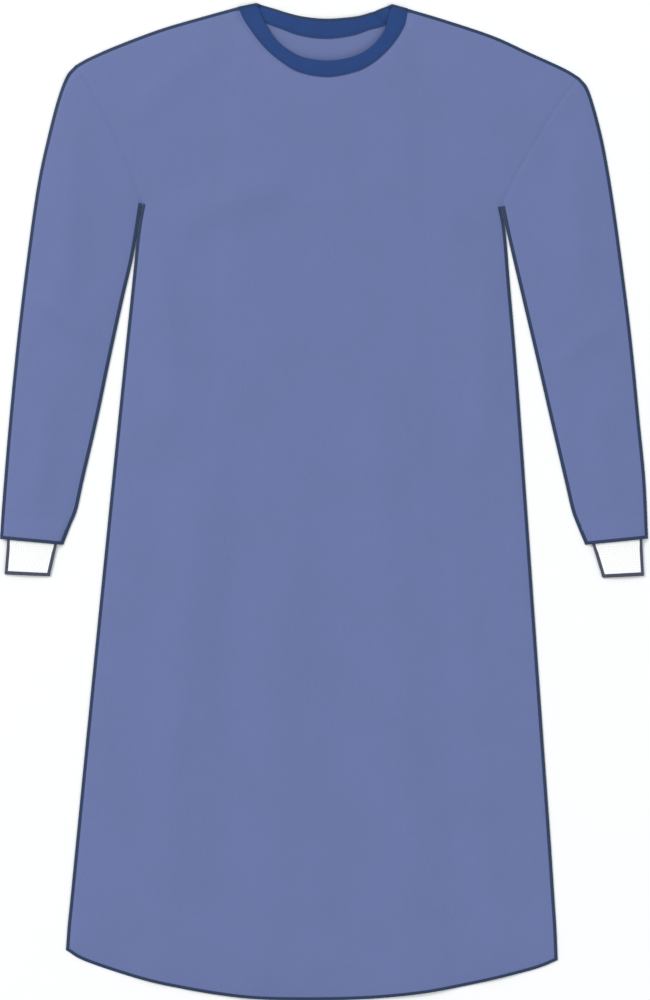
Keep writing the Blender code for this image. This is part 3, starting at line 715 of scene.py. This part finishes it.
# %% [markdown]
# ## Overlocked edges
# The dark line round the gown is its seam: thread whipped over the raw edges. Texture alone would vanish
# from the side, so each seam is a real flattened bead that wraps the edge. Its section goes once round the
# edge, and each stitch swells and sinks a little, on a slant, as thread does when a machine lays it.

# %% A bead of stitches along a line
STITCH = 2.4
BEAD_WIDTH = 4.3
BEAD_SECTION = (
    {"in": 0.00, "up": 0.00, "proud": 0.0, "swell": 0.0},
    {"in": -0.03, "up": 0.50, "proud": 0.0, "swell": 0.5},
    {"in": 0.00, "up": 1.00, "proud": 0.05, "swell": 1.0},
    {"in": 0.20, "up": 1.00, "proud": 0.34, "swell": 1.0},
    {"in": 0.50, "up": 1.00, "proud": 0.42, "swell": 1.0},
    {"in": 0.82, "up": 1.00, "proud": 0.34, "swell": 0.9},
    {"in": 1.00, "up": 1.00, "proud": 0.02, "swell": 0.2},
    {"in": 0.90, "up": 0.00, "proud": 0.0, "swell": 0.0},
)


def tube(name, rings, material, flip=False):
    """A closed tube through rings of points, with flat ends."""
    rows, columns = rings.shape[:2]
    faces = grid_faces(rows, columns, 0, flip, around=True)
    first, last = tuple(range(columns)), tuple((rows - 1) * columns + c for c in range(columns))
    faces += [first, last[::-1]] if flip else [first[::-1], last]
    return new_piece(name, rings.reshape(-1, 3), faces, material)


def bead(name, line, inwards, high_of, low_of, material, width=BEAD_WIDTH, swell=0.15):
    """Stitches along a line. inwards is 1 where the cloth is on the line's left, and -1 on its right."""
    count = max(int(length_of(line) / STITCH * 4), 8)
    middle = spread(line, np.linspace(0, 1, count + 1))
    left = leftwards(middle) * inwards
    low = low_of(middle + left * 1.4)
    along = np.linspace(0, length_of(line), count + 1)
    rings = []
    for part in BEAD_SECTION:
        place = middle + left * (part["in"] * width)
        wave = swell * part["swell"] * np.sin(math.tau * (along / STITCH - 0.9 * part["in"]))
        height = low + (high_of(place) - low) * part["up"] + part["proud"] + wave
        rings.append(np.column_stack([place, np.maximum(height, low)]))
    return tube(name, np.stack(rings, axis=1), material, flip=inwards < 0)


def on_floor(points):
    return np.full(len(points), 0.02)


def under_cloth(points):
    return np.maximum(cloth_top(points) - CLOTH - 0.5, 0.02)


threads = [bead("hem_stitches", hem_line, 1, cloth_top, under_cloth, seam_thread)]
for side, sign in (("right", 1), ("left", -1)):
    for seam, inwards in (("side", sign), ("shoulder", sign), ("over_arm", sign), ("under_arm", -sign)):
        threads.append(bead(f"{seam}_{side}_stitches", curves[side][seam], inwards, cloth_top, on_floor, seam_thread))
    wrist = np.array([curves[side]["over_arm"][-1], curves[side]["under_arm"][-1]])
    threads.append(bead(f"wrist_{side}_stitches", wrist, sign, cloth_top, under_cloth, seam_thread))
print("edges sewn:", len(threads), "faces:", sum(len(t.data.polygons) for t in threads))

# %% [markdown]
# ## The neck band
# One folded strip goes once round the neck. It starts inside the back opening, runs round the back, folds
# over at the shoulder, crosses the front, folds over again and ends on the outside of the back. So it is
# made as one strip too: a middle line with a way up at each station, and a section swept along it.

# %% The way of the strip round the neck
TURN_STEPS = 10
BACK_STATIONS, FRONT_STATIONS = 110, 150


def strip_rows(sewn, free, count):
    """Places in pairs along one side of the neck: on the band's sewn edge and on its free edge."""
    shares = np.linspace(0, 1, count + 1)
    return np.stack([spread(sewn, shares), spread(free, shares)], axis=1)


def stations(rows, height, up):
    """Rows of sewn place, free place and way up, at these heights."""
    z = np.repeat(np.asarray(height, float)[:, None, None], 2, axis=1)
    way = np.tile([0.0, 0.0, up], (len(rows), 1, 1))
    return np.concatenate([np.concatenate([rows, z], axis=2), way], axis=1)


def fold_over(ends, rising):
    """Where the strip folds back on itself at the side of the neck: half a circle about the fold."""
    across = (ends[1] - ends[0]) / np.linalg.norm(ends[1] - ends[0])
    outwards = np.array([-across[1], across[0]]) * (1 if across[0] > 0 else -1)
    radius, foot = (BAND_PLY + SEAM_GAP) / 2, BAND_PLY / 2
    room = outwards * (radius + BAND_PLY / 2)
    sewn, free = ends[0] - room, ends[1] - room
    rows = []
    for angle in np.linspace(0, math.pi, TURN_STEPS + 1):
        aside, z = outwards * radius * math.sin(angle), foot + radius * (1 - math.cos(angle))
        up = [*(-outwards * math.sin(angle)), math.cos(angle)]
        rows.append([[*(sewn + aside), z], [*(free + aside), z], up])
    return np.array(rows if rising else rows[::-1])


half_ply, over_band = BAND_PLY / 2, BAND_PLY + SEAM_GAP
back_rows = strip_rows(back_sewn, back_free, BACK_STATIONS)
front_rows = strip_rows(front_sewn, front_free, FRONT_STATIONS)
inner_rows = back_rows[2:][back_rows[2:, 0, 0] < BACK_RIGHT_EDGE["neck"]][::-1]
inner_height = half_ply + over_band * ease(inner_rows[:, 0, 0], BACK_LEFT_EDGE["neck"] - 34, BACK_LEFT_EDGE["neck"] - 8)
front_part = front_rows[2:-2]
front_height = band_height(front_part.mean(axis=1), np.linspace(0, 1, len(front_part)))
outer_rows = back_rows[:-2][back_rows[:-2, 0, 0] > -20.0][::-1]
strip = np.concatenate([
    stations(inner_rows, inner_height, 1.0),
    fold_over(back_rows[0], rising=True),
    stations(front_part, front_height, -1.0),
    fold_over(back_rows[-1], rising=False),
    stations(outer_rows, np.full(len(outer_rows), half_ply), 1.0),
])

# %% [markdown]
# The strip is a binding: a tape folded along its length, so its free edge is a round fold and its sewn edge
# is where both halves are stitched down over the gown's cloth. Its section is slightly crowned, and a row of
# stitches sinks into it 2.5 mm from the sewn edge, on both faces.

# %% The neck band and its stitching
BAND_SECTION = (
    (0.00, 0.25), (0.02, 0.70), (0.07, 0.92), (0.12, 0.80), (0.17, 0.94), (0.35, 1.0), (0.60, 1.0), (0.80, 0.98),
    (0.92, 0.88), (0.98, 0.55), (1.00, 0.0),
)
ROW_IN, ROW_STITCH, ROW_WIDTH = 0.12, 2.8, 0.45
EDGE_SECTION = (
    {"in": -0.20, "up": 0.0}, {"in": 0.0, "up": 0.55}, {"in": 0.6, "up": 0.88}, {"in": 1.8, "up": 1.02},
    {"in": 2.9, "up": 0.98}, {"in": 3.4, "up": 0.70}, {"in": 3.4, "up": -0.70}, {"in": 1.8, "up": -0.86},
    {"in": 0.0, "up": -0.55},
)

sewn, free, way_up = strip[:, 0], strip[:, 1], strip[:, 2]
around_band = BAND_SECTION + tuple((share, -high) for share, high in BAND_SECTION[-2::-1])
rings = np.stack([sewn + (free - sewn) * share + way_up * BAND_HALF * high for share, high in around_band], axis=1)
band = tube("neck_band_binding", rings, neck_binding, flip=True)


def stitch_row(name, centres, across, up, material):
    """A row of lockstitches: each is a short bump, sunk at both ends."""
    count = int(length_of(centres) / ROW_STITCH * 6)
    along = along_of(centres)
    at = np.linspace(0, along[-1], count + 1)
    lines = np.column_stack([centres, across, up])
    lines = np.stack([np.interp(at, along, lines[:, k]) for k in range(9)], axis=1)
    size = (0.25 + 0.75 * np.abs(np.sin(np.linspace(0, math.pi * count / 6, count + 1))) ** 0.7)[:, None]
    rings = [
        lines[:, :3] + lines[:, 3:6] * math.cos(a) * ROW_WIDTH * size + lines[:, 6:] * math.sin(a) * 0.3 * size
        for a in np.linspace(0, math.tau, 7)[:-1]
    ]
    rings = np.stack(rings, axis=1)
    rings[..., 2] = np.maximum(rings[..., 2], 0.02)
    return tube(name, rings, material)


across_band = (free - sewn) / np.linalg.norm(free - sewn, axis=1)[:, None]
for face, name in ((1, "outer"), (-1, "inner")):
    centres = sewn + (free - sewn) * ROW_IN + way_up * (face * BAND_HALF * 0.86)
    stitch_row(f"neck_band_{name}_stitches", centres, across_band, way_up, seam_thread)


def edge_thread(name, rows):
    """Thread whipped over the band's free edge, along some of its stations."""
    edge, up = rows[:, 1], rows[:, 2]
    back = (rows[:, 0] - edge) / np.linalg.norm(rows[:, 0] - edge, axis=1)[:, None]
    wave = 0.08 * np.sin(math.tau * along_of(edge) / STITCH)[:, None]
    rings = [edge + back * part["in"] + up * (part["up"] + wave * np.sign(part["up"])) for part in EDGE_SECTION]
    rings = np.stack(rings, axis=1)
    rings[..., 2] = np.maximum(rings[..., 2], 0.02)
    return tube(name, rings, seam_thread)


turn, first_front = TURN_STEPS + 1, len(inner_rows) + TURN_STEPS + 1
edge_thread("neck_band_right_edge_stitches", strip[:first_front])
edge_thread("neck_band_left_edge_stitches", strip[-(len(outer_rows) + turn):])
right_fold = np.array([back_sewn[0], back_free[0], spread(back_free, np.array([0.03]))[0]])
left_fold = np.array([spread(back_free, np.array([0.97]))[0], back_free[-1], back_sewn[-1]])
for name, line in (("right", right_fold), ("left", left_fold)):
    bead(
        f"neck_fold_{name}_stitches", line, -1, lambda points: np.full(len(points), 3.45), on_floor,
        seam_thread, 3.2, 0.08,
    )
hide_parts("neck_band")

# %% [markdown]
# ## The fastening tape
# A short pad of hook tape carries the outer end of the band on to the corner of the outer back panel. It
# lies under the band, so it is a plain thin pad with a hooked face.

# %% Hook tape
TAB_STEPS = 24
tab_rows = back_rows[(back_rows[:, 0, 0] > BACK_LEFT_EDGE["neck"]) & (back_rows[:, 0, 0] < -20.4)]
tab_shares = np.linspace(0.02, 0.98, TAB_STEPS + 1)
tab_grid = tab_rows[:, 0][:, None] * (1 - tab_shares[None, :, None]) + tab_rows[:, 1][:, None] * tab_shares[None, :, None]
tab_flat = tab_grid.reshape(-1, 2)
tab_top = 1.2 + 0.12 * ripple(tab_flat, 1.6, 9.0)
tab = shell("neck_tab_tape", tab_grid, tab_top, np.full(len(tab_flat), 0.02), hook_tape)
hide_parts("neck_tab")

# %% [markdown]
# ## The cuffs
# A gown's cuff is a tube of one-by-one rib knit that grips the wrist. Its head is sewn inside the sleeve's
# end, and laid flat it is a soft flattened tube. The ribs are made as real ridges, because they show from
# the side and at the free end, and they fade where the tube turns over at its two folds.

# %% Ribbed cuffs
CUFF_AT = {"right": (0.119, 0.904), "left": (0.888, 0.095)}
CUFF_END = {
    "right": ((-407.8, -92.3), (-350.3, -94.8)),
    "left": ((408.7, -94.1), (355.8, -96.7)),
}
CUFF_TUCK, CUFF_DROP = 6.0, 0.28
KNIT = 0.8
RIBS, RIB_SAMPLES, RIB_DEPTH = 18, 6, 0.55
CUFF_BEAD = 4.7


def cuff_section(half, wall):
    """A flattened tube seen from its end, as places across and heights. wall is how far inside the outer face."""
    top = np.linspace(half, -half, RIBS * RIB_SAMPLES + 1)
    turn = np.radians(np.linspace(-67.5, 67.5, 7))
    gap = 0.4 + 1.5 * (1 - (top / half) ** 2)
    ribs = RIB_DEPTH * np.abs(np.cos(math.pi * RIBS * (top / half + 1) / 2)) ** 0.8 * (1 - (top / half) ** 8)
    high = 2 * PLY + gap + ribs - 0.45 - wall * 1.1
    low = np.full(RIBS * 2 + 1, 0.0) + wall
    middle, radius = (high[0] + wall) / 2, max((high[0] - wall) / 2, 0.05)
    reach = PLY - wall
    across = np.concatenate([np.linspace(-half, half, RIBS * 2 + 1), half + reach * np.cos(turn), top, -half - reach * np.cos(turn)])
    height = np.concatenate([low, middle + radius * np.sin(turn), high, middle - radius * np.sin(turn)])
    return across, height


def cuff_sides(side):
    """The cuff's two side folds, each from the sleeve to the free end: first the one nearer the left of the picture."""
    over, under = curves[side]["over_arm"][-1], curves[side]["under_arm"][-1]
    first, last = CUFF_AT[side] if side == "right" else CUFF_AT[side][::-1]
    lines = np.array([[over + (under - over) * at, end] for at, end in zip((first, last), CUFF_END[side])])
    return lines[np.argsort(lines[:, 0, 0])]


def cuff_lift(share):
    return SECOND_LAYER * (1 - ease(share, 0.0, CUFF_DROP))


def cuff_rings(side, wall, distances):
    """Rings of points round one cuff, at these distances from the sleeve's end."""
    left_fold, right_fold = cuff_sides(side)
    length = np.linalg.norm(left_fold[1] - left_fold[0])
    rings = []
    for share in np.asarray(distances) / length:
        ends = [fold[0] + (fold[1] - fold[0]) * share for fold in (left_fold, right_fold)]
        way = (ends[1] - ends[0]) / np.linalg.norm(ends[1] - ends[0])
        across, height = cuff_section(np.linalg.norm(ends[1] - ends[0]) / 2 - PLY, wall)
        place = (ends[0] + ends[1]) / 2 + way * across[:, None]
        rings.append(np.column_stack([place, np.maximum(height, 0.02) + cuff_lift(share)]))
    return np.array(rings)


def lifted(fold, height):
    """The height of a cuff's side fold: so much above what the cuff rests on."""
    length = np.linalg.norm(fold[1] - fold[0])
    return lambda points: height + cuff_lift(np.linalg.norm(points - fold[0], axis=1) / length)


def wrapped(rings, flip):
    """Faces of rings of points that close both ways, round the tube and round its section."""
    rows, columns = rings.shape[:2]
    faces = grid_faces(rows, columns, 0, flip, around=True)
    for c in range(columns):
        n, last = (c + 1) % columns, (rows - 1) * columns
        faces.append((c, n, last + n, last + c) if not flip else (last + c, last + n, n, c))
    return faces


for side, fold_names in (("right", ("outer", "inner")), ("left", ("inner", "outer"))):
    folds = cuff_sides(side)
    cuff_length = float(np.linalg.norm(folds[0, 1] - folds[0, 0]))
    distances = np.concatenate([[-CUFF_TUCK], np.linspace(0.0, cuff_length, 31)])
    outer, inner = cuff_rings(side, 0.0, distances), cuff_rings(side, KNIT, distances)
    rows, columns = outer.shape[:2]
    count = rows * columns
    faces = grid_faces(rows, columns, 0, True, around=True) + grid_faces(rows, columns, count, False, around=True)
    for ring, flip in ((0, True), (rows - 1, False)):
        for c in range(columns):
            a, b = ring * columns + c, ring * columns + (c + 1) % columns
            wall = (a, b, b + count, a + count)
            faces.append(wall[::-1] if flip else wall)
    cuff = new_piece(f"cuff_{side}_knit", np.vstack([outer.reshape(-1, 3), inner.reshape(-1, 3)]), faces, knit_cuff)
    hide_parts(f"cuff_{side}")
    at_end = ((-0.12, -4.3), (-0.3, -3.5), (-0.3, -1.0), (-0.1, 0.0), (0.4, 0.35), (KNIT + 0.15, 0.0), (KNIT + 0.15, -2.4))
    end_rings = np.concatenate([cuff_rings(side, wall, [cuff_length + beyond]) for wall, beyond in at_end])
    end_rings[:4, :, 2] += 0.10 * np.sin(np.arange(columns) * math.tau / 4.6) * (end_rings[:4, :, 2] > 1.2)
    end_thread = new_piece(f"cuff_{side}_end_stitches", end_rings.reshape(-1, 3), wrapped(end_rings, True), cuff_thread)

    seams = [
        bead(f"cuff_{side}_{name}_stitches", fold, turn, lifted(fold, 2.3), lifted(fold, 0.02), cuff_thread, CUFF_BEAD, 0.1)
        for name, fold, turn in zip(fold_names, folds, (1, -1))
    ]
